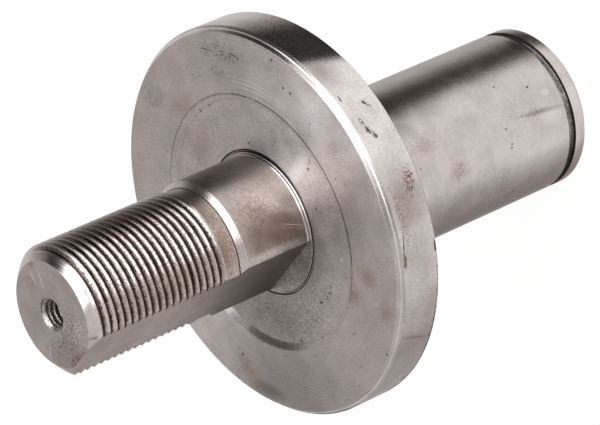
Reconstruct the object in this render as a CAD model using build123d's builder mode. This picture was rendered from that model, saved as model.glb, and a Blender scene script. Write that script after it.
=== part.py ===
from build123d import *
import os
from math import ceil, radians, tan

# Flanged stub shaft, CNC turned from one bar of steel and finished on a mill: one solid.
# The turning axis is Z. The shaft stands on its plain rear end, which is z = 0, with the
# threaded end up, and the milled flat faces +X. Sizes are in millimetres.

# Rear journal, with a retaining-ring groove near its end and a root fillet at the flange
rear_journal_diameter = 30.0
rear_journal_length = 57.2
rear_end_chamfer = 1.0
ring_groove_depth = 0.7
ring_groove_width = 1.6
ring_groove_from_end = 3.2
rear_root_radius = 0.8

# Flange
flange_diameter = 72.0
flange_thickness = 9.2
flange_rear_chamfer = 0.4
flange_front_chamfer_radial = 1.0
flange_front_chamfer_axial = 1.3

# Shallow recess with a sloping wall, turned in the flange's front face
recess_mouth_diameter = 47.6
recess_wall_run = 1.2
recess_depth = 0.9
recess_floor_diameter = recess_mouth_diameter - 2 * recess_wall_run

# Front journal, with a shoulder cone at 45 degrees
front_journal_diameter = 25.0
front_journal_length = 14.3

# Root of the front journal: a low collar with a narrow ring groove around it
root_collar_step = 0.5
root_collar_height = 0.5
root_collar_chamfer = 0.4
root_groove_width = 0.5
root_groove_depth = 0.8
root_collar_diameter = front_journal_diameter + 2 * root_collar_step

# External thread, M24 x 1.5, right-handed. Its crest lies under the journal, so that a hub
# slides over it.
thread_step = 0.6
thread_length = 28.7
thread_pitch = 1.5
thread_depth = 0.92
thread_root_flat = 0.19
thread_flank_angle = 30.0
thread_first_groove = 0.8
thread_end_chamfer = 2.2
cutter_overshoot = 0.1
thread_crest_diameter = front_journal_diameter - 2 * thread_step

# Relief between the journal and the thread
relief_step = 0.45
relief_length = 3.2
relief_diameter = thread_crest_diameter - 2 * relief_step

# Flat milled along the thread, the relief and the front journal
flat_distance = 9.15
flat_floor_height = 0.2

# Hole in the threaded end, drilled for an M6 thread
end_hole_diameter = 5.0
end_hole_countersink = 0.5
end_hole_depth = 16.0
drill_tip_angle = 118.0

# Stations along the axis, counted from the rear end
flange_rear_z = rear_journal_length
flange_front_z = flange_rear_z + flange_thickness
recess_floor_z = flange_front_z - recess_depth
collar_top_z = recess_floor_z + root_collar_height
front_shoulder_z = recess_floor_z + front_journal_length
relief_z = front_shoulder_z + (front_journal_diameter - relief_diameter) / 2
thread_z = relief_z + relief_length
front_end_z = thread_z + thread_length
flat_floor_z = recess_floor_z + flat_floor_height


# Cutter for the thread: one V groove wound up the shaft. It starts and ends over the flat,
# so both of its ends are milled away.
groove_start_z = thread_z + thread_first_groove
groove_turns = ceil((front_end_z - groove_start_z) / thread_pitch)
thread_root_radius = thread_crest_diameter / 2 - thread_depth
cutter_depth = thread_depth + cutter_overshoot
cutter_mouth = thread_root_flat + 2 * cutter_depth * tan(radians(thread_flank_angle))

with BuildPart() as thread_cutter:
    with BuildLine() as helix:
        Helix(
            pitch=thread_pitch,
            height=groove_turns * thread_pitch,
            radius=thread_root_radius,
            center=(0, 0, groove_start_z),
        )
    start = helix.line @ 0
    with BuildSketch(Plane(origin=start, x_dir=(1, 0, 0), z_dir=helix.line % 0)):
        with BuildLine():
            Polyline(
                (0, -thread_root_flat / 2),
                (cutter_depth, -cutter_mouth / 2),
                (cutter_depth, cutter_mouth / 2),
                (0, thread_root_flat / 2),
                close=True,
            )
        make_face()
    sweep(path=helix.line, is_frenet=True)


def rims(diameter):
    """Circular edges of one diameter, from the lowest up."""
    circles = stub_shaft.edges().filter_by(GeomType.CIRCLE)
    same_size = circles.filter_by(lambda edge: abs(edge.radius - diameter / 2) < 1e-3)
    return same_size.sort_by(Axis.Z)


with BuildPart() as stub_shaft:
    # Turned outline, revolved about the axis
    with BuildSketch(Plane.XZ):
        with BuildLine():
            Polyline(
                (0, 0),
                (rear_journal_diameter / 2, 0),
                (rear_journal_diameter / 2, flange_rear_z),
                (flange_diameter / 2, flange_rear_z),
                (flange_diameter / 2, flange_front_z),
                (recess_mouth_diameter / 2, flange_front_z),
                (recess_floor_diameter / 2, recess_floor_z),
                (root_collar_diameter / 2, recess_floor_z),
                (root_collar_diameter / 2, collar_top_z),
                (front_journal_diameter / 2, collar_top_z),
                (front_journal_diameter / 2, front_shoulder_z),
                (relief_diameter / 2, relief_z),
                (relief_diameter / 2, thread_z),
                (thread_crest_diameter / 2, thread_z),
                (thread_crest_diameter / 2, front_end_z),
                (0, front_end_z),
                close=True,
            )
        make_face()
    revolve(axis=Axis.Z)

    # Edges broken in the lathe, and the fillet where the rear journal meets the flange
    chamfer(rims(rear_journal_diameter)[0], rear_end_chamfer)
    fillet(rims(rear_journal_diameter)[-1], rear_root_radius)
    chamfer(rims(flange_diameter)[0], flange_rear_chamfer)
    flange_face = stub_shaft.faces().filter_by_position(Axis.Z, flange_front_z, flange_front_z)[0]
    chamfer(
        rims(flange_diameter)[-1],
        length=flange_front_chamfer_radial,
        length2=flange_front_chamfer_axial,
        reference=flange_face,
    )
    chamfer(rims(root_collar_diameter)[-1], root_collar_chamfer)
    chamfer(rims(thread_crest_diameter)[-1], thread_end_chamfer)

    # Retaining-ring groove
    with BuildSketch(Plane.XY.offset(ring_groove_from_end)):
        Circle(rear_journal_diameter / 2)
        Circle(rear_journal_diameter / 2 - ring_groove_depth, mode=Mode.SUBTRACT)
    extrude(amount=ring_groove_width, mode=Mode.SUBTRACT)

    # Ring groove around the root collar
    with BuildSketch(Plane.XY.offset(recess_floor_z)):
        Circle(root_collar_diameter / 2 + root_groove_width)
        Circle(root_collar_diameter / 2, mode=Mode.SUBTRACT)
    extrude(amount=-root_groove_depth, mode=Mode.SUBTRACT)

    # Drilled hole with its countersink and the cone that the drill leaves
    with Locations((0, 0, front_end_z)):
        CounterSinkHole(
            end_hole_diameter / 2,
            end_hole_diameter / 2 + end_hole_countersink,
            depth=end_hole_depth,
            counter_sink_angle=90,
        )
    with Locations((0, 0, front_end_z - end_hole_depth)):
        Cone(
            bottom_radius=0,
            top_radius=end_hole_diameter / 2,
            height=end_hole_diameter / 2 / tan(radians(drill_tip_angle / 2)),
            align=(Align.CENTER, Align.CENTER, Align.MAX),
            mode=Mode.SUBTRACT,
        )

    # Thread, then the flat across it
    add(thread_cutter.part, mode=Mode.SUBTRACT)
    milled_depth = root_collar_diameter / 2 + root_groove_width - flat_distance
    with BuildSketch(Plane.XY.offset(flat_floor_z)):
        with Locations((flat_distance + milled_depth / 2, 0)):
            Rectangle(milled_depth, root_collar_diameter)
    extrude(amount=front_end_z - flat_floor_z, mode=Mode.SUBTRACT)

stub_shaft.part.label = "stub_shaft"
os.makedirs("parts", exist_ok=True)
export_step(stub_shaft.part, "parts/stub_shaft.step")
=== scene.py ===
from collections import namedtuple
from math import acos, ceil, cos, pi, radians, sin, tan

import bmesh
import bpy
import numpy as np
from mathutils import Matrix, Vector


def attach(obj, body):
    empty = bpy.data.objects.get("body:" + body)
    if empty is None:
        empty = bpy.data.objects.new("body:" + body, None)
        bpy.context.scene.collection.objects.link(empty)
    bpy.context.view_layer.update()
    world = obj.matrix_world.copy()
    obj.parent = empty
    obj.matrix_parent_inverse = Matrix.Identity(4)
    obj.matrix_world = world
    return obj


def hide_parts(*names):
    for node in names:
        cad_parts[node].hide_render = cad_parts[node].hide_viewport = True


# Looks of the flanged stub shaft: one mesh of bare turned steel, with rounded thread crests,
# broken edges and a tapped hole, stands for the CAD solid on a plain pale floor. The turning
# axis is Z, the threaded end is up and the milled flat faces +X. Lengths are in millimetres
# until a mesh is made. Marks, lights and the camera are placed in degrees.

MM = 0.001
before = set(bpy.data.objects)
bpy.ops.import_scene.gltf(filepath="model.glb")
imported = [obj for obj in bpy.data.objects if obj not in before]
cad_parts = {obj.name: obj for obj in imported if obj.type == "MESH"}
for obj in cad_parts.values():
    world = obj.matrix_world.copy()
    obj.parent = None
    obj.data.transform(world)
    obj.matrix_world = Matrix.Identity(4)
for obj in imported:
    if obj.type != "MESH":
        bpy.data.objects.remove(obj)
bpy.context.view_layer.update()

# ---------------------------------------------------------------- sizes, as in the CAD solid
rear_journal_radius = 15.0
rear_end_chamfer = 1.0
rear_root_radius = 0.8
ring_groove_from_end = 3.2
ring_groove_width = 1.6
ring_groove_depth = 0.7
flange_radius = 36.0
flange_rear_z = 57.2
flange_thickness = 9.2
flange_rear_chamfer = 0.4
recess_mouth_radius = 23.8
recess_wall_run = 1.2
recess_depth = 0.9
front_journal_radius = 12.5
front_journal_length = 14.3
collar_step = 0.5
root_groove_width = 0.5
root_groove_depth = 0.8
thread_step = 0.6
thread_length = 28.7
thread_pitch = 1.5
thread_depth = 0.92
thread_first_groove = 0.8
thread_end_chamfer = 2.2
relief_step = 0.45
relief_length = 3.2
flat_x = 9.15
flat_floor_height = 0.2
end_hole_depth = 16.0

ring_groove_radius = rear_journal_radius - ring_groove_depth
ring_groove_top_z = ring_groove_from_end + ring_groove_width
flange_front_z = flange_rear_z + flange_thickness
recess_floor_radius = recess_mouth_radius - recess_wall_run
recess_floor_z = flange_front_z - recess_depth
collar_radius = front_journal_radius + collar_step
root_groove_radius = collar_radius + root_groove_width
root_groove_z = recess_floor_z - root_groove_depth
flat_floor_z = recess_floor_z + flat_floor_height
front_shoulder_z = recess_floor_z + front_journal_length
crest_radius = front_journal_radius - thread_step
root_radius = crest_radius - thread_depth
relief_radius = crest_radius - relief_step
relief_z = front_shoulder_z + front_journal_radius - relief_radius
thread_z = relief_z + relief_length
front_end_z = thread_z + thread_length
first_root_z = thread_z + thread_first_groove
thread_turns = ceil((front_end_z - first_root_z) / thread_pitch)
end_face_radius = crest_radius - thread_end_chamfer
hole_bottom_z = front_end_z - end_hole_depth

# ---------------------------------------------------------------- what the solid leaves out
journal_break, groove_break = 0.12, 0.08  # roundings of edges
flange_break, face_break = 0.15, 0.25
root_break, land_break = 0.05, 0.04
shoulder_below, shoulder_above, shoulder_in = 0.06, 0.05, 0.05  # the shoulder's broken edge
corner_below, corner_above, corner_out = 0.12, 0.08, 0.12  # the corner line at its foot
collar_shoulder_z = recess_floor_z + 0.12
collar_edge_radius = front_journal_radius + 0.42  # where the collar meets the flat's floor
shoulder_mark_radius, cone_mark_radius = 12.0, 11.0  # middles of surfaces that carry marks
ridge_mark_radius, groove_mark_radius = 13.2, 13.3
hole_root_radius = 3.0
hole_core_radius = 2.5
hole_mouth_radius = 3.05
hole_pitch = 1.0
hole_thread_z = 100.0
drill_tip_height = 1.5

flange_chamfer = [  # in from the rim, down from the face, rounding, cover of the next stretch
    (0.0, 1.18, flange_break, "flange_edge"),
    (0.38, 0.78, land_break, "flange_land"),
    (0.58, 0.66, land_break, "flange_edge"),
    (0.92, 0.0, face_break, "faced"),
]
root_ridge = [  # out from the collar, up from the root groove's floor, rounding, cover
    (0.32, 0.0, 0, "root_groove"),
    (0.28, 0.70, land_break, "root_ridge"),
    (0.08, 0.70, land_break, "root_groove"),
    (0.04, 0.0, 0, "root_groove"),
]
collar_top = [  # out from the front journal, up from the recess floor, cover
    (0.36, 0.26, "root_ridge"),
    (0.26, 0.30, "root_groove"),
    (0.20, 0.34, "root_groove"),
    (0.20, 0.50, "root_edge"),
    (0.02, 0.70, "root_edge"),
    (0.0, 0.76, "front_journal"),
]
thread_profile = [  # height from the groove's middle, depth below the crest
    (-0.095, thread_depth),
    (0.095, thread_depth),
    (0.53, 0.17),
    (0.58, 0.08),
    (0.65, 0.02),
    (0.73, 0.0),
    (0.80, 0.025),
    (0.88, 0.08),
    (0.95, 0.16),
    (1.01, 0.25),
]
thread_lead_in = (-0.69, -0.60, -0.545)  # more rows before the first groove
thread_start_slope = 4.5  # radius gained per height on the bevel that starts the thread
thread_start_rises = (0.06, 0.11)  # heights of that bevel's rows above its foot
thread_runout = 0.1  # the helix runs on by this past where its root meets the end cone
end_edge = [(0.03, 0.09), (-0.03, 0.02), (-0.06, 0.0)]  # out from the face, down from the end
end_face_shares = (0.12, 0.5, 0.88, 1.0)  # rings from the edge to the hole's mouth
hole_profile = [  # height from the middle of the thread's root, radius
    (-0.06, hole_root_radius),
    (0.06, hole_root_radius),
    (0.34, hole_core_radius + 0.03),
    (0.40, hole_core_radius),
    (0.60, hole_core_radius),
    (0.66, hole_core_radius + 0.03),
]

# ---------------------------------------------------------------- mesh resolution
shaft_columns = 288  # around the shaft outside the flat
flat_columns = 96  # across the flat
hole_columns = 72
corner_steps = 3  # in each rounded corner of the outline
edge_search_rounds = 12  # to find where a helical row meets the flat
rear_axis_radius, tip_axis_radius = 0.02, 0.01  # of the rows nearest the axis
sharp_angle = 32
weld_distance, sliver_length = 2e-7, 1e-8  # metres


class Skin:
    """Vertices and faces of one mesh, gathered row by row."""

    def __init__(self):
        self.points, self.faces, self.slots, self.materials = [], [], [], []

    def row(self, points):
        """Adds a row of points in millimetres and returns their numbers."""
        start = len(self.points)
        self.points.extend(tuple(p) for p in points)
        return list(range(start, len(self.points)))

    def slot(self, material):
        """Number of the material's slot, which it gets when it is first used."""
        if material not in self.materials:
            self.materials.append(material)
        return self.materials.index(material)

    def face(self, corners, material):
        self.faces.append(corners)
        self.slots.append(self.slot(material))

    def strip(self, low, high, material, closed=False):
        """Quads between two rows of the same length, facing outwards when low is under high."""
        count = len(low)
        for i in range(count if closed else count - 1):
            j = (i + 1) % count
            self.face((low[i], low[j], high[j], high[i]), material)

    def build(self, name, materials):
        """Makes the mesh object, in metres, with its materials and its sharp edges."""
        mesh = bpy.data.meshes.new(name)
        mesh.from_pydata([Vector(p) * MM for p in self.points], [], self.faces)
        for material in self.materials:
            mesh.materials.append(materials[material])
        mesh.polygons.foreach_set("material_index", self.slots)
        work = bmesh.new()
        work.from_mesh(mesh)
        bmesh.ops.remove_doubles(work, verts=work.verts, dist=weld_distance)
        bmesh.ops.dissolve_degenerate(work, edges=work.edges, dist=sliver_length)
        work.to_mesh(mesh)
        work.free()
        mesh.shade_smooth()
        mesh.set_sharp_from_angle(angle=radians(sharp_angle))
        piece = bpy.data.objects.new(name, mesh)
        bpy.context.scene.collection.objects.link(piece)
        return piece


def rounded(outline):
    """Replaces each corner of (radius, height, rounding, cover) points by an arc."""
    out = []
    for i, (r, z, rounding, cover) in enumerate(outline):
        if not rounding or i in (0, len(outline) - 1):
            out.append((r, z, cover))
            continue
        corner = Vector((r, z))
        before = (Vector(outline[i - 1][:2]) - corner).normalized()
        after = (Vector(outline[i + 1][:2]) - corner).normalized()
        half = before.angle(after) / 2
        reach = rounding / tan(half)
        start, end = corner + before * reach, corner + after * reach
        centre = corner + (before + after).normalized() * rounding / sin(half)
        sweep = (start - centre).angle_signed(end - centre)
        for k in range(corner_steps + 1):
            spoke = (start - centre).copy()
            spoke.rotate(Matrix.Rotation(-sweep * k / corner_steps, 2))
            out.append((*(centre + spoke), outline[i - 1][3] if k == 0 else cover))
    return out


def edge_angle(radius):
    """Angle from +X at which a circle of this radius meets the flat."""
    return acos(flat_x / radius)


def polar(radius, angle, height):
    return radius * cos(angle), radius * sin(angle), height


def around(angles, radius, height):
    return [polar(radius, angle, height) for angle in angles]


# ---------------------------------------------------------------- turned body below the flat's floor
def rear_outline():
    """Rear end, journal with its groove, and the flange's back."""
    return [
        (rear_axis_radius, 0.0, 0, "faced"),
        (rear_journal_radius - rear_end_chamfer, 0.0, journal_break, "edge"),
        (rear_journal_radius, rear_end_chamfer, journal_break, "journal"),
        (rear_journal_radius, ring_groove_from_end, groove_break, "groove_wall"),
        (ring_groove_radius, ring_groove_from_end, journal_break, "groove"),
        (ring_groove_radius, ring_groove_top_z, journal_break, "groove"),
        (rear_journal_radius, ring_groove_top_z, groove_break, "journal"),
        (rear_journal_radius, flange_rear_z, rear_root_radius, "faced"),
        (flange_radius - flange_rear_chamfer, flange_rear_z, flange_break, "rear_edge"),
        (flange_radius, flange_rear_z + flange_rear_chamfer, flange_break, "rim"),
    ]


def front_outline():
    """Flange's front edge and face, the recess, the root groove with its ridge, and the collar."""
    edge = [(flange_radius - i, flange_front_z - d, *rest) for i, d, *rest in flange_chamfer]
    ridge = [(collar_radius + o, root_groove_z + u, *rest) for o, u, *rest in root_ridge]
    return [
        *edge,
        (recess_mouth_radius, flange_front_z, journal_break, "recess"),
        (recess_floor_radius, recess_floor_z, face_break, "recess"),
        (root_groove_radius, recess_floor_z, root_break, "root_groove"),
        (root_groove_radius, root_groove_z, root_break, "root_groove"),
        *ridge,
        (collar_radius, root_groove_z, 0, "root_groove"),
        (collar_radius, collar_shoulder_z, 0, "root_ridge"),
        (collar_edge_radius, flat_floor_z, 0, "root_edge"),
    ]


def turned_body(skin, angles):
    """Turns the outline about the axis and returns its last row."""
    previous, previous_cover = None, None
    for r, z, cover in rounded(rear_outline() + front_outline()):
        row = skin.row(around(angles, r, z))
        if previous:
            skin.strip(previous, row, previous_cover, closed=True)
        previous, previous_cover = row, cover
    return previous


# ---------------------------------------------------------------- front shaft: flat and thread
def envelope(z):
    """Largest radius of the threaded length at a height: the start bevel and the end cone."""
    start = relief_radius + (z - thread_z) * thread_start_slope
    end = end_face_radius + front_end_z - z
    return min(crest_radius, start, end)


def profile_value(profile, pitch, height):
    """A thread profile's value at a height, repeated with the pitch."""
    heights = [h for h, _ in profile] + [profile[0][0] + pitch]
    values = [value for _, value in profile] + [profile[0][1]]
    wrapped = (height - heights[0]) % pitch + heights[0]
    return float(np.interp(wrapped, heights, values))


def helix_row(base, low, high):
    """(radius, height) at an angle, for a helical row that stops against two heights."""

    def at(angle):
        climb = thread_pitch * angle / (2 * pi)
        z = min(max(base + climb, low), high)
        depth = profile_value(thread_profile, thread_pitch, z - climb - first_root_z)
        return min(crest_radius - depth, envelope(z)), z

    return at


def flat_row(radius, height):
    """(radius, height) at an angle, for a row that stays at one of each."""
    return lambda angle: (radius, height)


def shaft_row(at):
    """Points of one row around the shaft, from one edge of the flat to the other."""
    ends = []
    for side in (1, -1):
        angle = edge_angle(at(pi)[0])
        for _ in range(edge_search_rounds):
            turn = angle if side > 0 else 2 * pi - angle
            angle = edge_angle(at(turn)[0])
        ends.append(angle if side > 0 else 2 * pi - angle)
    angles = np.linspace(ends[0], ends[1], shaft_columns + 1)
    return [polar(r, a, z) for a in angles for r, z in [at(a)]]


def journal_rows():
    """(radius, height, cover of the next stretch) from the collar to the thread's start."""
    collar = [(front_journal_radius + o, recess_floor_z + u, cover) for o, u, cover in collar_top]
    starts = [thread_z + rise for rise in thread_start_rises]
    return [
        *collar,
        (front_journal_radius, front_shoulder_z - shoulder_below, "shoulder"),
        (front_journal_radius - shoulder_in, front_shoulder_z + shoulder_above, "shoulder"),
        (relief_radius + corner_out, relief_z - corner_below, "relief_corner"),
        (relief_radius, relief_z + corner_above, "relief"),
        (relief_radius, thread_z, "thread"),
        *[(envelope(z), z, "thread") for z in starts],
    ]


def thread_rows():
    """Rows of points along the helix, from the lead-in to where the root meets the end cone."""
    steps = [turn * thread_pitch + h for turn in range(thread_turns) for h, _ in thread_profile]
    top = front_end_z - (root_radius - end_face_radius) + thread_runout
    bases = [first_root_z + step for step in (*thread_lead_in, *steps)]
    return [shaft_row(helix_row(base, thread_z, top)) for base in bases]


def front_shaft(skin, first_row):
    """Covers the shaft from the collar to the end's edge and returns all its rows."""
    journal = journal_rows()
    thread = thread_rows()
    end = [(end_face_radius + out, front_end_z - down) for out, down in end_edge]
    rows = [shaft_row(flat_row(r, z)) for r, z, _ in journal]
    rows += thread
    rows += [shaft_row(flat_row(r, z)) for r, z in end]
    covers = ["root_edge", *[cover for _, _, cover in journal]]
    covers += ["thread"] * (len(thread) - 1)
    covers += ["end_cone"] * len(end)
    numbered = [first_row] + [skin.row(points) for points in rows]
    for low, high, cover in zip(numbered, numbered[1:], covers):
        skin.strip(low, high, cover)
    return numbered


def chord(skin, row, height):
    """Row along the flat at one height, from the last point of a shaft row to its first."""
    y = skin.points[row[0]][1]
    inner = [(flat_x, v, height) for v in np.linspace(-y, y, flat_columns + 1)[1:-1]]
    return [row[-1], *skin.row(inner), row[0]]


def flat_faces(skin, numbered, floor_row):
    """The milled face, and the small floor that the cutter left at its foot; returns its top row."""
    bottom = chord(skin, numbered[0], flat_floor_z)
    top = chord(skin, numbered[-1], front_end_z)
    left = [row[0] for row in numbered[1:-1]]
    right = [row[-1] for row in numbered[1:-1]]
    skin.face([*bottom, *left, *reversed(top), *reversed(right)], "milled")
    skin.strip(floor_row, bottom, "floor")
    return top


def end_face(skin, last_row, top):
    """Face of the threaded end, from its D-shaped edge to the mouth of the tapped hole."""
    rim = last_row[:-1] + top[:-1]
    previous = rim
    for share in end_face_shares:
        points = []
        for n in rim:
            x, y, z = skin.points[n]
            reach = np.hypot(x, y)
            r = reach + (hole_mouth_radius - reach) * share
            points.append((x / reach * r, y / reach * r, z))
        row = skin.row(points)
        skin.strip(previous, row, "end_face", closed=True)
        previous = row


# ---------------------------------------------------------------- tapped hole
def hole_point(base, angle):
    """Point of a helical row in the hole, held between the thread's end and the mouth."""
    climb = hole_pitch * angle / (2 * pi)
    z = min(max(base + climb, hole_thread_z), front_end_z)
    radius = profile_value(hole_profile, hole_pitch, z - climb - hole_thread_z)
    countersink = hole_mouth_radius - (front_end_z - z)
    return polar(max(radius, countersink), angle, z)


def tapped_hole(skin):
    angles = [2 * pi * i / hole_columns for i in range(hole_columns + 1)]
    turns = range(-1, int((front_end_z - hole_thread_z) / hole_pitch) + 1)
    bases = [hole_thread_z + turn * hole_pitch + h for turn in turns for h, _ in hole_profile]
    rows = [skin.row([hole_point(base, angle) for angle in angles]) for base in bases]
    for low, high in zip(rows, rows[1:]):
        skin.strip(high, low, "hole")
    core = skin.row(around(angles, hole_core_radius, hole_thread_z))
    bottom = skin.row(around(angles, hole_core_radius, hole_bottom_z))
    tip = skin.row(around(angles, tip_axis_radius, hole_bottom_z - drill_tip_height))
    skin.strip(rows[0], core, "hole")
    skin.strip(core, bottom, "hole")
    skin.strip(bottom, tip, "hole")


def make_shaft(materials):
    collar_angle = edge_angle(collar_edge_radius)
    shaft_angles = list(np.linspace(collar_angle, 2 * pi - collar_angle, shaft_columns + 1))
    flat_angles = list(np.linspace(-collar_angle, collar_angle, flat_columns + 1))
    skin = Skin()
    top_row = turned_body(skin, shaft_angles[:-1] + flat_angles[:-1])
    first_row = top_row[: shaft_columns + 1]
    floor_row = top_row[shaft_columns:] + [top_row[0]]
    numbered = front_shaft(skin, first_row)
    top = flat_faces(skin, numbered, floor_row)
    end_face(skin, numbered[-1], top)
    tapped_hole(skin)
    return skin.build("stub_shaft_steel", materials)


# ---------------------------------------------------------------- node trees
class Tree:
    """Short calls for building a node tree."""

    def __init__(self, tree):
        self.tree = tree
        tree.nodes.clear()

    def fill(self, socket, value):
        """Links a socket to another node's output, or sets it to a plain value."""
        if isinstance(value, bpy.types.NodeSocket):
            self.tree.links.new(value, socket)
        else:
            socket.default_value = value

    def add(self, kind, inputs=(), **settings):
        node = self.tree.nodes.new(kind)
        for key, value in settings.items():
            setattr(node, key, value)
        for key, value in dict(inputs).items():
            self.fill(node.inputs[key], value)
        return node

    def math(self, operation, a, b=0.0, c=0.0):
        return self.add("ShaderNodeMath", {0: a, 1: b, 2: c}, operation=operation).outputs[0]

    def product(self, *factors):
        total = factors[0]
        for factor in factors[1:]:
            total = self.math("MULTIPLY", total, factor)
        return total

    def rest(self, share):
        """What a share leaves of one."""
        return self.math("SUBTRACT", 1.0, share)

    def scaled(self, vector, factor):
        inputs = {0: vector, "Scale": factor}
        return self.add("ShaderNodeVectorMath", inputs, operation="SCALE").outputs[0]

    def ramp(self, value, low, high, out_low=0.0, out_high=1.0):
        """Smooth step from out_low at low to out_high at high."""
        inputs = {0: value, 1: low, 2: high, 3: out_low, 4: out_high}
        node = self.add("ShaderNodeMapRange", inputs, interpolation_type="SMOOTHSTEP")
        return node.outputs[0]

    def step(self, value, edge, softness, before=0.0, after=1.0):
        """Smooth step with its middle on an edge."""
        return self.ramp(value, edge - softness / 2, edge + softness / 2, before, after)

    def blend(self, factor, a, b):
        node = self.add("ShaderNodeMix", data_type="RGBA")
        for socket, value in ((0, factor), (6, a), (7, b)):
            self.fill(node.inputs[socket], value)
        return node.outputs[2]

    def noise(self, vector, scale, detail, roughness):
        inputs = {"Vector": vector, "Scale": scale, "Detail": detail, "Roughness": roughness}
        return self.add("ShaderNodeTexNoise", inputs).outputs["Fac"]

    def separate(self, vector):
        return self.add("ShaderNodeSeparateXYZ", {0: vector}).outputs

    def combine(self, x, y=0.0):
        return self.add("ShaderNodeCombineXYZ", {0: x, 1: y}).outputs[0]


def rgb(red, green, blue):
    return (red, green, blue, 1.0)


# ---------------------------------------------------------------- surface of the steel
textures = {  # of each noise: scale per millimetre, detail, roughness
    "tool": (3.0, 4.0, 0.65),
    "fine": (3.6, 3.0, 0.7),
    "patches": (0.22, 5.0, 0.62),
    "specks": (2.6, 3.0, 0.65),
    "borders": (1.1, 3.0, 0.6),
    "contours": (0.7, 4.0, 0.6),
    "pits": (1.0, 2.0, 0.55),
}
border_reach = 1.6  # swing of the noise that pushes a mark's border, in its half sizes
tool_mark_drift = 0.05  # how fast the tool marks change along their lay, against across it
noise_low, noise_high = 0.3, 0.7  # between these lies nearly all of a noise
patch_low, patch_high = 0.32, 0.68
tool_dark, tool_light = 0.05, 0.04
pit_border, pit_shade = 0.05, 0.3
ring_core = 0.4  # share of a ring's half width that has its full strength
tool_height, grain_height = 0.010, 0.018  # millimetres
gloss_spread = 0.06
rust_roughness = 0.3
stained_metallic = 0.4
anisotropic_turn = 0.25  # of a whole turn

# (from, to, value there, value there) of each ramp
flake_ramp = (0.35, 0.65, -0.6, 0.8)  # of the specks, in scaly areas
stroke_ramp = (0.006, 0.022, 0.7, 0.0)  # of the contours, in scribbled areas
rust_ramp = (0.47, 0.54, 0.0, 1.0)
glint_ramp = (0.35, 0.5, 0.4, 1.0)
dark_ramp = (0.0, 1.0, 1.0, 0.12)
valley_ramp = (0.2, 0.5, 0.0, 1.0)  # of the depth below the crests
valley_dirt_ramp = (0.5, 0.6, 0.0, 0.5)  # of the patches
valley_speck_ramp = (0.54, 0.62, 0.0, 0.6)
valley_brown_ramp = (0.3, 0.8, 0.0, 0.35)
valley_unevenness = 0.3

mark_borders = {  # kind: share of the border's noise, start and end of the fade, in half sizes
    "grime": (1.0, 0.3, 1.4),
    "scaly": (1.0, 0.2, 1.4),
    "scribble": (1.0, 0.4, 1.2),
    "dark": (1.0, 0.6, 1.3),
    "shade": (0.0, -0.1, 1.5),
    "patch": (0.6, 0.6, 1.25),
    "brown": (1.0, 0.0, 1.6),
    "rust": (1.0, 0.5, 1.4),
    "light": (0.0, 0.3, 1.3),
    "window": (1.0, 0.4, 1.4),
}

warm = rgb(0.615, 0.563, 0.537)
# painted highlight: warm_light is the same steel painted lighter for the rim, the chamfers and the
# broken edges, and bright a near white for the flange's land
warm_light = rgb(0.70, 0.645, 0.615)
bright = rgb(0.92, 0.90, 0.89)
thread_grey = rgb(0.84, 0.785, 0.75)
milled_grey = rgb(0.64, 0.575, 0.535)
dull = rgb(0.52, 0.465, 0.44)
brown_grey = rgb(0.50, 0.44, 0.405)
# painted shade: the ridge in the root groove is painted darker than the steel around it
ridge_grey = rgb(0.50, 0.44, 0.41)
hole_grey = rgb(0.43, 0.385, 0.36)
# painted shade: the floors of the ring groove and the root groove are painted darker than the steel
# around them
ring_groove_grey = rgb(0.30, 0.265, 0.25)
root_groove_grey = rgb(0.26, 0.22, 0.20)
# painted shade: near black for the ring groove's wall and the relief's corner
painted_corner_shade = rgb(0.08, 0.065, 0.06)
# brown: stains, and also a painted tint of some shaded places
brown_stain_and_shade_tint, brown_strength = rgb(0.35, 0.235, 0.175), 0.55
rust_red, rust_strength = rgb(0.085, 0.022, 0.018), 0.9
thread_dirt = rgb(0.22, 0.14, 0.09)
# colour of bright scratches, and of painted highlights
bare_metal_and_highlight = rgb(0.97, 0.95, 0.93)

# A spot's place is (azimuth, z) on a round surface, (x, y) on a turned face and (y, z) on the
# flat. Its half sizes and its turn follow, and then how strong it is.
Spot = namedtuple("Spot", "u v half_u half_v turn strength", defaults=(0, 1))
Ring = namedtuple("Ring", "radius half_width strength window", defaults=(None,))
Soil = namedtuple("Soil", "shallow deep darkest")
Surface = namedtuple("Surface", "radius mm over reach height tool fine patches specks border")


def read_surface(t, lay, radius):
    """Places and noises on a surface: over is in millimetres along it, reach from the axis."""
    mm = t.scaled(t.add("ShaderNodeTexCoord").outputs["Object"], 1 / MM)
    x, y, z = t.separate(mm)
    reach = t.math("SQRT", t.math("ADD", t.math("MULTIPLY", x, x), t.math("MULTIPLY", y, y)))
    if lay == "round":
        over, across = t.combine(t.math("MULTIPLY", t.math("ARCTAN2", y, x), radius), z), z
    elif lay == "faced":
        over, across = t.combine(x, y), reach
    else:
        over, across = t.combine(y, z), y
    inputs = {0: t.scaled(mm, tool_mark_drift), 1: t.combine(across)}
    lines = t.add("ShaderNodeVectorMath", inputs, operation="ADD").outputs[0]
    tool = t.noise(lines, *textures["tool"])
    fine, patches, specks, border = (
        t.noise(mm, *textures[name]) for name in ("fine", "patches", "specks", "borders")
    )
    border = t.math("MULTIPLY", t.math("SUBTRACT", border, 0.5), border_reach)
    return Surface(radius, mm, over, reach, z, tool, fine, patches, specks, border)


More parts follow.
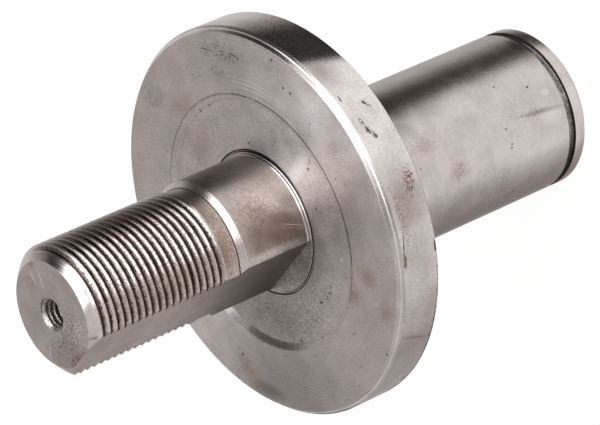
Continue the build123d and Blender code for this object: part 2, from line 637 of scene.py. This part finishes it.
def spot_mask(t, surface, kind, spots):
    """Union of spots on a surface, with the borders that their kind has."""
    raggedness, inner, outer = mark_borders[kind]
    total = 0.0
    for spot in spots:
        u = radians(spot.u) * surface.radius if surface.radius else spot.u
        inputs = {
            "Vector": surface.over,
            "Location": (u, spot.v, 0),
            "Rotation": (0, 0, radians(spot.turn)),
            "Scale": (spot.half_u, spot.half_v, 1),
        }
        local = t.add("ShaderNodeMapping", inputs, vector_type="TEXTURE").outputs[0]
        size = t.add("ShaderNodeVectorMath", {0: local}, operation="LENGTH").outputs["Value"]
        if raggedness:
            size = t.math("MULTIPLY_ADD", surface.border, raggedness, size)
        total = t.math("MAXIMUM", total, t.ramp(size, inner, outer, spot.strength, 0.0))
    return total


def tooled_shade(t, surface, mottle, grain, lay_depth, pitting):
    """Light and dark of bare steel: mottling, grain, tool marks and pits."""
    pits = t.noise(surface.mm, *textures["pits"])
    darkest, lightest = 1 - tool_dark * lay_depth, 1 + tool_light * lay_depth
    return t.product(
        t.ramp(surface.patches, patch_low, patch_high, 1 - mottle, 1 + mottle / 2),
        t.ramp(surface.fine, noise_low, noise_high, 1 - grain, 1 + grain),
        t.ramp(surface.tool, noise_low, noise_high, darkest, lightest),
        t.ramp(pits, pitting, pitting + pit_border, pit_shade, 1.0),
    )


def ring_shade(t, surface, ring):
    """Line around the axis, over all its length or inside a window; some are turned lines and
    scratches, some painted shade and highlights at the recess.
    """
    off = t.math("ABSOLUTE", t.math("SUBTRACT", surface.reach, ring.radius))
    line = t.ramp(off, ring.half_width * ring_core, ring.half_width, ring.strength, 0.0)
    if ring.window:
        line = t.math("MULTIPLY", line, spot_mask(t, surface, "window", [ring.window]))
    return t.rest(line)


def mark_shades(t, surface, masks):
    """Factors by which flaking, scribbles, painted soft shade and dents darken the steel."""
    factors = []
    if "scaly" in masks:
        flakes = t.ramp(surface.specks, *flake_ramp)
        factors.append(t.math("MULTIPLY_ADD", masks["scaly"], flakes, 1.0))
    if "scribble" in masks:
        contour = t.math("SUBTRACT", t.noise(surface.mm, *textures["contours"]), 0.5)
        strokes = t.ramp(t.math("ABSOLUTE", contour), *stroke_ramp)
        factors.append(t.rest(t.math("MULTIPLY", masks["scribble"], strokes)))
    if "shade" in masks or "patch" in masks:
        soft = t.math("MAXIMUM", masks.get("shade", 0.0), masks.get("patch", 0.0))
        factors.append(t.rest(soft))
    if "dark" in masks:
        factors.append(t.ramp(masks["dark"], *dark_ramp))
    return factors


def soiled_and_shaded_thread(t, surface, masks, soil):
    """Factors that darken the thread's valleys with dirt and with painted shade spots, and their
    depth, made uneven by dirt.
    """
    cone = t.math("SUBTRACT", end_face_radius + front_end_z, surface.height)
    depth = t.math("SUBTRACT", t.math("MINIMUM", crest_radius, cone), surface.reach)
    valley = t.ramp(depth, *valley_ramp)
    grime = t.math("MAXIMUM", masks["grime"], t.ramp(surface.patches, *valley_dirt_ramp))
    specks = t.ramp(surface.specks, *valley_speck_ramp)
    uneven = t.math("MULTIPLY_ADD", surface.border, valley_unevenness, specks)
    depth = t.math("MULTIPLY_ADD", uneven, valley, depth)
    filled = t.ramp(depth, soil.shallow, soil.deep, 1.0, soil.darkest)
    return [t.rest(t.math("MULTIPLY", grime, valley)), filled], depth


def rusted(t, surface, masks):
    """How far rust covers the steel: specks inside the rust marks."""
    if "rust" not in masks:
        return 0.0
    return t.math("MULTIPLY", masks["rust"], t.ramp(surface.specks, *rust_ramp))


def stains_and_painted_light(t, surface, masks, base, rust, depth):
    """Colour of the steel with its brown stains and painted shade tints, thread dirt, rust, bright
    scratches and painted highlights.
    """
    if "brown" in masks:
        base = t.blend(t.math("MULTIPLY", masks["brown"], brown_strength), base, brown_stain_and_shade_tint)
    if depth is not None:
        base = t.blend(t.ramp(depth, *valley_brown_ramp), base, thread_dirt)
    if "rust" in masks:
        base = t.blend(t.math("MULTIPLY", rust, rust_strength), base, rust_red)
    if "light" in masks:
        glints = t.ramp(surface.specks, *glint_ramp)
        base = t.blend(t.math("MULTIPLY", masks["light"], glints), base, bare_metal_and_highlight)
    return base


def relief_normal(t, surface, lay_depth, grain_depth):
    """Normals of the relief that the tool marks and the grain give."""
    tool = t.math("MULTIPLY", surface.tool, tool_height * lay_depth)
    height = t.math("MULTIPLY_ADD", surface.fine, grain_height * grain_depth, tool)
    return t.add("ShaderNodeBump", {"Height": height, "Distance": MM, "Strength": 1.0}).outputs[0]


def steel(
    name,
    colour,
    roughness,
    lay="round",
    radius=0.0,
    anisotropy=0.0,
    lay_depth=1.0,
    grain_depth=1.0,
    grain=0.10,
    mottle=0.12,
    pitting=0.22,
    rings=(),
    fade=None,
    soil=None,
    marks=None,
):
    """Bare machined steel with tool marks along its lay, grain, mottling, stains and pits, and with
    painted shade and highlights.
    """
    material = bpy.data.materials.new(name)
    material.use_nodes = True
    t = Tree(material.node_tree)
    surface = read_surface(t, lay, radius)
    masks = {kind: spot_mask(t, surface, kind, spots) for kind, spots in (marks or {}).items()}
    rust = rusted(t, surface, masks)
    factors = [tooled_shade(t, surface, mottle, grain, lay_depth, pitting)]
    factors += [ring_shade(t, surface, ring) for ring in rings]
    factors += mark_shades(t, surface, masks)
    # fade: painted shade, a darkening along the height
    if fade:
        factors.append(t.ramp(surface.height, *fade))
    depth = None
    if soil:
        soil_factors, depth = soiled_and_shaded_thread(t, surface, masks, soil)
        factors += soil_factors
    base = t.scaled(colour[:3], t.product(*factors))
    dullest, glossiest = roughness * (1 + gloss_spread), roughness * (1 - gloss_spread)
    gloss = t.ramp(surface.patches, noise_low, noise_high, glossiest, dullest)
    inputs = {
        "Base Color": stains_and_painted_light(t, surface, masks, base, rust, depth),
        "Metallic": 1.0,
        "Roughness": gloss,
        "Normal": relief_normal(t, surface, lay_depth, grain_depth),
    }
    if "rust" in masks or "dark" in masks:
        spoilt = t.math("MAXIMUM", rust, masks.get("dark", 0.0))
        inputs["Metallic"] = t.ramp(spoilt, 0.0, 1.0, 1.0, stained_metallic)
        inputs["Roughness"] = t.math("MULTIPLY_ADD", rust, rust_roughness, gloss)
    if anisotropy:
        inputs["Anisotropic"] = anisotropy
        inputs["Anisotropic Rotation"] = anisotropic_turn
        inputs["Tangent"] = t.add("ShaderNodeTangent", direction_type="RADIAL", axis="Z").outputs[0]
    shader = t.add("ShaderNodeBsdfPrincipled", inputs)
    t.add("ShaderNodeOutputMaterial", {"Surface": shader.outputs[0]})
    return material


# ---------------------------------------------------------------- marks of use, with painted shade, tints and highlights
rim_marks = {
    "rust": [
        Spot(91.1, 60.3, 0.9, 0.35, 33),
        Spot(86.3, 63.25, 1.3, 0.35, 8),
        Spot(83.0, 62.6, 1.3, 0.5, 26),
        Spot(95.1, 64.3, 0.6, 0.25),
        Spot(66.8, 59.8, 2.2, 1.1, -10),
        Spot(57.5, 63.6, 4.5, 0.9, 0, 0.5),
        Spot(62.0, 61.8, 3.0, 1.0, 0, 0.2),
        Spot(-8.0, 58.5, 5.0, 1.6, 0, 0.8),
    ],
    "dark": [
        Spot(50.4, 64.6, 2.4, 0.13, -10),
        Spot(46.3, 64.75, 1.3, 0.38, -8),
        Spot(91.3, 60.5, 0.45, 0.26, 33),
        Spot(84.0, 62.95, 0.6, 0.24, 15),
        Spot(81.6, 62.1, 0.4, 0.3, 26),
        Spot(94.8, 64.3, 0.45, 0.2),
        Spot(47.4, 57.7, 0.9, 0.3),
        Spot(20.4, 61.6, 2.8, 0.08, 69, 0.4),
        Spot(0.0, 57.6, 25.0, 0.5, 0, 0.75),
    ],
    "brown": [
        Spot(66.8, 59.9, 2.6, 1.4, 0, 0.6),
        Spot(46.6, 64.8, 1.6, 0.5),
        Spot(20.4, 61.6, 3, 0.4, 69),
        # painted shade tint: these two brown spots tint the shaded places of the rim
        Spot(63.0, 61.5, 6.0, 5.0, 0, 0.45),
        Spot(104.5, 63.5, 3.0, 2.5, 0, 0.4),
    ],
    "shade": [
        Spot(63.0, 62.0, 7.0, 6.0, 0, 0.5),
        Spot(44.0, 61.8, 9.0, 7.0, 0, 0.36),
        Spot(106.0, 63.5, 3.4, 3.4, 0, 0.45),
        Spot(134.0, 61.8, 8.0, 12.0, 0, 0.15),
    ],
    "scaly": [Spot(124.0, 61.8, 8.5, 9.0, 0, 0.6)],
}
rear_edge_marks = {"dark": [Spot(0.0, 57.4, 25.0, 0.8, 0, 0.8), Spot(47.4, 57.4, 0.9, 0.4)]}
journal_marks = {
    "dark": [
        Spot(94.3, 17.3, 0.18, 0.18),
        Spot(84.9, 10.9, 0.25, 0.2),
        Spot(64.2, 19.4, 0.22, 0.22),
        Spot(52.8, 18.9, 0.2, 0.2),
        Spot(50.2, 19.1, 0.18, 0.18),
        Spot(13.1, 17.8, 0.3, 0.3),
        Spot(7.8, 19.0, 0.25, 0.25),
    ],
    "shade": [
        Spot(65.8, 10.6, 5.2, 0.45, 83.5, 0.42),
        Spot(117.0, 57.0, 3.4, 20.0, 0, 0.85),
        Spot(121.0, 5.8, 2.2, 1.3, 0, 0.7),
        Spot(107.0, 39.0, 3.6, 4.5, 0, 0.65),
        Spot(96.0, 40.0, 3.0, 3.0, 0, 0.4),
        Spot(103.0, 34.0, 3.0, 6.0, 0, 0.35),
        Spot(0.0, 30.0, 4.0, 60.0, 0, 0.35),
    ],
    "light": [
        Spot(60.5, 8.6, 1.6, 3.0, 0, 0.22),
        Spot(76.7, 7.8, 0.7, 1.0, 0, 0.3),
        # painted light: this spot lightens a stretch of the journal near the ring groove
        Spot(33.0, 12.0, 3.4, 10.0, 0, 0.4),
    ],
    "scribble": [Spot(66.5, 11.5, 5.0, 1.0, 83.5, 0.7)],
    "rust": [Spot(50.5, 32.0, 1.6, 2.0, 0, 0.35), Spot(77.7, 38.6, 1.6, 3.0, 0, 0.2)],
    "brown": [
        Spot(65.8, 10.6, 5.2, 0.6, 83.5, 0.5),
        Spot(74.0, 38.0, 1.5, 3.6, 0, 0.4),
        # painted shade tint: these two long brown strips tint the journal's dark band and its lower
        # edge
        Spot(116.0, 26.0, 3.4, 40.0, 0, 0.5),
        Spot(5.0, 26.0, 3.6, 40.0, 0, 0.8),
        Spot(50.5, 32.0, 1.8, 2.4, 0, 0.4),
    ],
}
face_marks = {
    "dark": [
        Spot(-3.6, 27.4, 0.24, 0.8, 35),
        Spot(-28.0, 15.6, 1.6, 0.1, 44),
        Spot(-23.2, 20.9, 0.7, 0.16, 30),
        Spot(-22.0, 21.4, 0.5, 0.12, -20),
        Spot(-25.4, 18.8, 0.8, 0.1, 50),
        Spot(-16.7, 29.1, 0.3, 0.25),
        Spot(-11.8, 27.4, 0.3, 0.25),
        Spot(-10.2, 28.2, 0.35, 0.25),
        Spot(3.0, 29.4, 0.7, 0.07, 60, 0.5),
        Spot(12.9, -26.1, 0.35, 0.2),
        Spot(33.6, 9.5, 0.35, 0.2),
    ],
    "scribble": [
        Spot(-25.5, 18.5, 6.0, 2.2, 48),
        Spot(-31.5, -5.0, 3.2, 2.4, 60, 0.8),
        Spot(-23.5, 14.5, 4.0, 2.0, 50, 0.6),
        Spot(-15.0, 28.5, 4.0, 2.0, 20, 0.5),
        Spot(15.0, -27.0, 4.0, 1.6, -8, 0.6),
    ],
    "scaly": [Spot(-31.0, -5.0, 3.4, 2.6, 60, 0.25), Spot(-26.0, 18.0, 8.0, 4.0, 45, 0.15)],
    "rust": [Spot(-30.8, -5.0, 3.0, 2.0, 60, 0.3), Spot(-24.5, 19.0, 5.0, 1.6, 45, 0.3)],
    "brown": [
        Spot(-25.4, 0.2, 3.2, 2.2, 60, 0.6),
        Spot(22.0, 17.2, 2.2, 2.0, 40, 1.0),
        Spot(22.0, 11.0, 1.6, 2.2, 0, 1.0),
        Spot(28.5, 15.8, 1.6, 2.4, 0, 0.9),
        Spot(16.2, -27.0, 4.0, 1.8, -8, 0.8),
    ],
    "shade": [
        Spot(24.0, -19.0, 18.0, 10.0, 48, 0.34),
        Spot(21.5, -25.2, 7.0, 2.6, 44, 0.6),
        Spot(-25.0, 18.0, 8.0, 5.0, 45, 0.12),
    ],
    # painted highlight: the sheen where the face's lay catches the light
    "light": [Spot(-3.8, 29.8, 5.0, 4.6, 0, 0.6)],
}
recess_marks = {
    "dark": [
        Spot(-0.05, 20.7, 0.14, 0.7, 40),
        Spot(0.6, 19.3, 0.3, 0.26),
        Spot(6.3, 14.8, 0.25, 0.22),
        Spot(18.1, 4.6, 0.3, 0.25),
        Spot(17.9, 0.9, 0.5, 0.2, 60),
    ],
    "shade": [Spot(11.0, -13.0, 15.0, 10.0, 50, 0.45), Spot(7.4, -22.0, 3.0, 1.6, 20, 0.55)],
    "scaly": [Spot(12.0, -6.0, 14.0, 14.0, 0, 0.4)],
    "scribble": [Spot(8.0, 19.0, 7.0, 3.5, -20, 0.4), Spot(16.0, 4.0, 4.0, 8.0, 0, 0.3)],
    "brown": [Spot(-18.3, -2.3, 3.0, 3.4, 0, 0.5)],
    "light": [
        # painted highlights: a glint, a sheen where the lay catches the light, and a line on the
        # recess wall
        Spot(15.9, 12.8, 0.5, 0.3, 30),
        Spot(-1.0, 16.8, 1.8, 4.8, 4, 0.5),
        Spot(-4.4, 15.8, 2.4, 2.4, 0, 0.4),
        Spot(5.6, -22.4, 3.2, 0.6, 18, 0.1),
    ],
}
end_marks = {
    "light": [
        Spot(-6.9, 1.3, 1.3, 0.1, -12),
        Spot(-5.8, 3.1, 2.9, 0.1, -27.4),
        Spot(3.8, -6.6, 1.5, 0.09, -51),
    ],
    "scaly": [Spot(4.6, 1.0, 4.6, 7.6, 0, 0.55)],
    "scribble": [Spot(4.6, 0.0, 4.0, 7.0, 0, 0.6)],
    "shade": [Spot(5.6, -2.0, 4.0, 4.5, 0, 0.25)],
    "rust": [Spot(8.6, -1.6, 0.9, 2.6), Spot(8.95, 0.0, 0.3, 3.6)],
    "brown": [Spot(8.9, -1.0, 0.5, 3.6), Spot(7.9, -1.8, 0.9, 1.6, 0, 0.7), Spot(-8.9, 3.0, 0.9, 1.1)],
}
cone_marks = {
    "dark": [
        Spot(33.8, 112.15, 0.7, 0.07, -54.6),
        Spot(98.1, 111.5, 0.2, 0.12),
        Spot(76.0, 111.6, 1.6, 0.08, 2),
    ],
    "patch": [Spot(122.0, 111.7, 2.4, 1.2, 0, 0.5)],
    "brown": [Spot(33.8, 112.15, 0.9, 0.3, -54.6), Spot(146.0, 111.8, 3.4, 1.2)],
    # painted highlight: lightens the cone where it catches the light
    "light": [Spot(53.0, 111.6, 3.2, 1.2, 0, 0.35)],
    "scribble": [Spot(70.0, 111.6, 3.0, 0.6)],
}
front_marks = {
    "shade": [
        Spot(59.5, 73.0, 8.0, 2.8, 68, 0.7),
        Spot(68.5, 71.0, 7.0, 2.5, 71, 0.7),
        Spot(64.5, 76.0, 3.6, 4.2, 0, 0.66),
        Spot(55.0, 76.6, 1.8, 3.2, 0, 0.55),
        Spot(81.0, 67.0, 3.0, 2.6, 0, 0.4),
        Spot(140.0, 73.0, 6.5, 14.0, 0, 0.6),
    ],
    "patch": [Spot(56.0, 70.6, 5.8, 1.5, 68, 0.62)],
    "scaly": [Spot(80.0, 75.0, 4.5, 5.5, 0, 0.6), Spot(60.0, 73.0, 4.0, 6.0, 0, 0.6)],
    "scribble": [Spot(84.0, 76.0, 3.0, 3.0, 0, 0.8)],
    "rust": [Spot(80.0, 76.0, 3.6, 3.4, 0, 0.25), Spot(62.0, 74.0, 2.0, 6.0, 0, 0.35)],
    "brown": [Spot(82.0, 76.0, 3.6, 4.4, 0, 0.7), Spot(62.0, 72.0, 3.2, 7.0, 0, 0.8)],
    # The second light spot is a painted highlight along the flat's edge; the first is a scratch.
    "light": [Spot(61.5, 68.6, 2.7, 0.06, 68.8, 0.6), Spot(47.5, 73.0, 0.8, 6.0, 0, 0.25)],
}
shoulder_marks = {
    # painted highlight: carries the shoulder's bright band further down
    "light": [Spot(50.0, 80.3, 3.0, 1.2, 0, 0.35)],
    "scribble": [Spot(50.0, 80.3, 4.0, 1.5, 0, 0.35)],
}
ring_groove_marks = {
    "dark": [Spot(124.0, 4.0, 3.4, 1.4), Spot(12.0, 4.0, 3.6, 1.4, 0, 0.8)],
    # painted highlight: a bright line along the groove's corner
    "light": [Spot(101.0, 3.42, 5.5, 0.12, 0, 0.8)],
    "scaly": [Spot(70.0, 4.0, 20.0, 3.0, 0, 0.8)],
}
thread_marks = {
    # painted shade: these spots darken the thread's valleys, most of all on its shaded side
    "grime": [
        Spot(116.0, 101.0, 3.0, 3.4, 0, 0.9),
        Spot(58.0, 91.0, 3.4, 1.6, 0, 0.95),
        Spot(46.0, 98.0, 1.4, 15.0, 0, 0.5),
        Spot(132.0, 98.0, 6.4, 22.0, 0, 1.0),
        Spot(80.0, 97.0, 3.0, 2.0, 0, 0.7),
    ],
    "shade": [
        Spot(135.0, 98.0, 6.2, 20.0, 0, 0.75),
        Spot(122.0, 108.0, 3.0, 3.6, 0, 0.5),
        Spot(66.0, 84.6, 5.0, 1.2, 0, 0.5),
        Spot(107.0, 88.0, 4.4, 4.4, 0, 0.45),
        Spot(118.0, 84.8, 3.0, 2.0, 0, 0.55),
    ],
    "rust": [Spot(75.0, 97.0, 9.0, 18.0, 0, 0.6)],
    # The second brown spot is a painted tint of the thread's shaded side; the first is a stain.
    "brown": [Spot(55.0, 95.0, 6.0, 14.0, 0, 0.5), Spot(124.0, 96.0, 6.0, 18.0, 0, 0.6)],
}
relief_marks = {
    "shade": [Spot(64.0, 83.2, 3.6, 2.6, 0, 0.65), Spot(107.0, 83.4, 6.0, 2.6, 0, 0.58)],
    "brown": [Spot(70.0, 82.5, 6.0, 3.0), Spot(106.0, 83.0, 5.0, 3.0, 0, 0.7)],
    "scaly": [Spot(75.0, 82.5, 7.0, 4.0, 0, 0.7)],
}
edge_marks = {
    "shade": [Spot(72.0, 65.6, 6.0, 2.0, 0, 0.55), Spot(107.0, 65.6, 4.0, 2.0, 0, 0.45)],
    "dark": [Spot(-24.0, 65.5, 7.0, 0.5, 0, 0.6), Spot(30.0, 65.1, 22.0, 0.16, 0, 0.6)],
}
groove_marks = {"shade": [Spot(125.0, 65.0, 10.0, 3.0, 0, 0.9)]}
floor_marks = {
    "scaly": [Spot(0.0, 65.7, 9.0, 9.0, 0, 0.4)],
    "scribble": [Spot(0.0, 65.7, 9.0, 9.0, 0, 0.4)],
}

scratch_window = Spot(-15.5, 21.5, 7.5, 4.0, 35)
wall_window = Spot(0.0, 14.0, 26.0, 20.0)
# The rings at 23.95 and 23.9 are painted shade along the recess's mouth; the others are a dirt line
# inside the face's edge and scratches.
face_rings = [
    Ring(34.7, 0.1, 0.2, Spot(-20.0, 29.0, 18.0, 6.0, 38)),
    Ring(23.95, 0.2, 0.75, Spot(2.0, 18.0, 24.0, 18.0)),
    Ring(23.9, 0.2, 0.5, Spot(-16.0, -6.0, 14.0, 20.0)),
    Ring(26.3, 0.2, -0.3, scratch_window),
    Ring(27.0, 0.14, -0.25, scratch_window),
    Ring(25.5, 0.2, -0.2, scratch_window),
    Ring(25.0, 0.1, 0.2, scratch_window),
]
# Painted shade along the recess wall's foot, its lower band and its mouth, and a painted highlight
# line on the wall, the ring of negative strength
recess_rings = [
    Ring(22.6, 0.12, 0.15),
    Ring(23.15, 0.72, 0.58, Spot(15.4, -16.9, 8.6, 5.0, 43)),
    Ring(23.75, 0.14, 0.5, wall_window),
    Ring(23.3, 0.2, -0.25, wall_window),
]
flat_painted_shade = (65.8, 95.0, 0.2, 1.0)  # from z, to z, shade there: painted shade, darkening the flat towards its foot


def rear_steels():
    """The rear journal with its ring groove, and the flange's edges and rim."""
    rim = dict(colour=warm_light, radius=flange_radius)
    return {
        "edge": steel("broken_edge", warm_light, 0.24, grain_depth=0.6),
        "journal": steel(
            "ground_journal", warm, 0.27, radius=rear_journal_radius, grain=0.07, marks=journal_marks
        ),
        "groove_wall": steel("groove_wall", painted_corner_shade, 0.5),
        "groove": steel(
            "groove_steel",
            ring_groove_grey,
            0.42,
            radius=ring_groove_radius,
            grain=0.4,
            mottle=0.5,
            marks=ring_groove_marks,
        ),
        "rear_edge": steel("rear_edge", roughness=0.24, marks=rear_edge_marks, **rim),
        "rim": steel(
            "turned_rim", roughness=0.10, grain=0.15, grain_depth=0.45, marks=rim_marks, **rim
        ),
        "flange_edge": steel(
            "flange_edge", roughness=0.18, grain_depth=0.8, marks=edge_marks, **rim
        ),
    }


def face_steels():
    """The flange's front face, its recess, and what lies around the collar."""
    return {
        "flange_land": steel("flange_land", bright, 0.2),
        "faced": steel(
            "faced_steel",
            warm,
            0.42,
            "faced",
            anisotropy=0.7,
            grain=0.19,
            mottle=0.10,
            pitting=0.23,
            rings=face_rings,
            marks=face_marks,
        ),
        "recess": steel(
            "recess_steel",
            warm,
            0.46,
            "faced",
            anisotropy=0.6,
            grain=0.22,
            pitting=0.25,
            rings=recess_rings,
            marks=recess_marks,
        ),
        "root_groove": steel(
            "root_groove", root_groove_grey, 0.45, radius=groove_mark_radius, marks=groove_marks
        ),
        "root_ridge": steel(
            "root_ridge", ridge_grey, 0.35, radius=ridge_mark_radius, marks=groove_marks
        ),
        "root_edge": steel("root_edge", warm_light, 0.26, grain_depth=0.6),
    }


def front_steels():
    """The front journal, its shoulder, the relief and the thread."""
    return {
        "front_journal": steel(
            "front_journal",
            brown_grey,
            0.32,
            radius=front_journal_radius,
            grain=0.2,
            mottle=0.18,
            marks=front_marks,
        ),
        "shoulder": steel(
            "shoulder", warm_light, 0.24, radius=shoulder_mark_radius, marks=shoulder_marks
        ),
        "relief_corner": steel("relief_corner", painted_corner_shade, 0.5),
        "relief": steel(
            "turned_relief", brown_grey, 0.30, radius=relief_radius, grain=0.2, marks=relief_marks
        ),
        "thread": steel(
            "thread_steel",
            thread_grey,
            0.20,
            radius=crest_radius,
            grain=0.06,
            grain_depth=0.12,
            soil=Soil(0.44, 0.88, 0.03),
            marks=thread_marks,
        ),
        "end_cone": steel(
            "end_cone",
            warm_light,
            0.22,
            radius=cone_mark_radius,
            lay_depth=2.5,
            grain_depth=0.6,
            marks=cone_marks,
        ),
    }


def end_steels():
    """The end face, the tapped hole, and the milled flat with its floor."""
    return {
        "end_face": steel("end_face_steel", dull, 0.42, "faced", grain=0.14, marks=end_marks),
        "hole": steel("hole_steel", hole_grey, 0.26, grain=0.6, grain_depth=4.0),
        "milled": steel("milled_flat", milled_grey, 0.46, "milled", grain=0.2, fade=flat_painted_shade),
        "floor": steel(
            "milled_floor", dull, 0.46, "milled", grain=0.3, mottle=0.3, marks=floor_marks
        ),
    }


def make_materials():
    return {**rear_steels(), **face_steels(), **front_steels(), **end_steels()}


# ---------------------------------------------------------------- studio
camera_lens, camera_sensor_width = 240.43, 36.0
camera_clip_start = 0.05  # metres
camera_distance = 703.13
camera_azimuth, camera_elevation, camera_roll = 72.596, 35.509, -113.723
camera_target = (1.351, 0.841, 58.308)

# Light from all around, brighter overhead, with cards of other radiance laid over it in turn
ceiling_ramp = (60, 75, 0.62, 0.7)  # from elevation, to elevation, radiance there
Card = namedtuple("Card", "start end soft_start soft_end low high soft_height radiance")
cards = [
    # azimuth from, to; softness at each; elevation from, to; softness; radiance
    Card(-125, -25, 30, 30, 0, 56, 16, 0.54),  # wall at the back left
    Card(-125, -25, 30, 30, -70, 0, 16, 0.42),  # table at the back left
    Card(205, 260, 20, 20, -70, 10, 16, 0.66),  # table at the back right
    Card(-6, 40, 16, 5, -65, 0, 14, 1.0),  # low window
    Card(38, 62, 6, 6, 4, 56, 10, 0.36),  # gap between window and key
    Card(40, 146, 14, 3, -60, 16, 16, 1.10),  # table lit by the key
    Card(66, 146, 14, 3, 16, 60, 10, 2.3),  # key
    Card(64, 142, 14, 14, 56, 82, 10, 4.6),  # high lamp
    Card(146, 197, 3, 40, -75, 46, 8, 0.045),  # dark side
    Card(130, 174, 10, 14, 46, 68, 8, 3.9),  # side of the high lamp
]
dim_tint, mid_tint, hot_tint = rgb(1.0, 0.93, 0.90), rgb(1, 1, 1), rgb(0.93, 1.0, 1.06)
dim_to_mid = (0.1, 1.3)  # radiance from, to
mid_to_hot = (2.4, 3.6)

floor_half_size = 6.0  # metres
floor_colour, floor_glow = rgb(0.12, 0.12, 0.12), 0.93
white = rgb(1, 1, 1)


def make_camera():
    """The photograph's viewing angle: a long lens, rolled so that the shaft lies slantwise."""
    data = bpy.data.cameras.new("camera")
    data.sensor_width = camera_sensor_width
    data.lens = camera_lens
    data.clip_start = camera_clip_start
    camera = bpy.data.objects.new("camera", data)
    bpy.context.scene.collection.objects.link(camera)
    azimuth, elevation = radians(camera_azimuth), radians(camera_elevation)
    direction = polar(cos(elevation), azimuth, sin(elevation))
    offset = Vector(direction) * camera_distance * MM
    camera.matrix_world = (
        Matrix.Translation(Vector(camera_target) * MM + offset)
        @ offset.to_track_quat("Z", "Y").to_matrix().to_4x4()
        @ Matrix.Rotation(radians(camera_roll), 4, "Z")
    )
    bpy.context.scene.camera = camera


def card_cover(t, direction, elevation, card):
    """Share of a direction that a card covers, with soft borders."""
    middle, half = (card.start + card.end) / 2, (card.end - card.start) / 2
    inputs = {"Vector": direction, "Angle": radians(-middle)}
    turned = t.add("ShaderNodeVectorRotate", inputs, rotation_type="Z_AXIS").outputs[0]
    x, y, _ = t.separate(turned)
    azimuth = t.math("DEGREES", t.math("ARCTAN2", y, x))
    return t.product(
        t.step(azimuth, -half, card.soft_start),
        t.step(azimuth, half, card.soft_end, 1.0, 0.0),
        t.step(elevation, card.low, card.soft_height),
        t.step(elevation, card.high, card.soft_height, 1.0, 0.0),
    )


def make_world():
    """Soft studio light by direction; the camera itself sees plain white."""
    world = bpy.data.worlds.new("studio")
    bpy.context.scene.world = world
    world.use_nodes = True
    t = Tree(world.node_tree)
    direction = t.add("ShaderNodeTexCoord").outputs["Generated"]
    elevation = t.math("DEGREES", t.math("ARCSINE", t.separate(direction)[2]))
    radiance = t.ramp(elevation, *ceiling_ramp)
    for card in cards:
        cover = card_cover(t, direction, elevation, card)
        behind = t.math("MULTIPLY", radiance, t.rest(cover))
        radiance = t.math("MULTIPLY_ADD", cover, card.radiance, behind)
    tint = t.blend(t.ramp(radiance, *dim_to_mid), dim_tint, mid_tint)
    tint = t.blend(t.ramp(radiance, *mid_to_hot), tint, hot_tint)
    studio = t.add("ShaderNodeBackground", {"Color": tint, "Strength": radiance})
    backdrop = t.add("ShaderNodeBackground", {"Color": white, "Strength": 1.0})
    seen = t.add("ShaderNodeLightPath").outputs["Is Camera Ray"]
    mixed = t.add("ShaderNodeMixShader", {0: seen, 1: studio.outputs[0], 2: backdrop.outputs[0]})
    t.add("ShaderNodeOutputWorld", {"Surface": mixed.outputs[0]})


def make_floor():
    """A pale table top, wide enough to fill the view, which the steel doesn't mirror."""
    size = floor_half_size
    mesh = bpy.data.meshes.new("floor")
    corners = [(-size, -size, 0), (size, -size, 0), (size, size, 0), (-size, size, 0)]
    mesh.from_pydata(corners, [], [(0, 1, 2, 3)])
    floor = bpy.data.objects.new("floor", mesh)
    bpy.context.scene.collection.objects.link(floor)
    material = bpy.data.materials.new("pale_floor")
    material.use_nodes = True
    t = Tree(material.node_tree)
    paint = t.add("ShaderNodeBsdfDiffuse", {"Color": floor_colour})
    glow = t.add("ShaderNodeEmission", {"Color": white, "Strength": floor_glow})
    both = t.add("ShaderNodeAddShader", {0: paint.outputs[0], 1: glow.outputs[0]})
    t.add("ShaderNodeOutputMaterial", {"Surface": both.outputs[0]})
    mesh.materials.append(material)
    floor.visible_glossy = False
    floor.visible_diffuse = False


make_camera()
make_world()
make_floor()
bpy.context.scene.view_settings.view_transform = "Standard"

shaft = make_shaft(make_materials())
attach(shaft, "root")
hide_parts("stub_shaft")
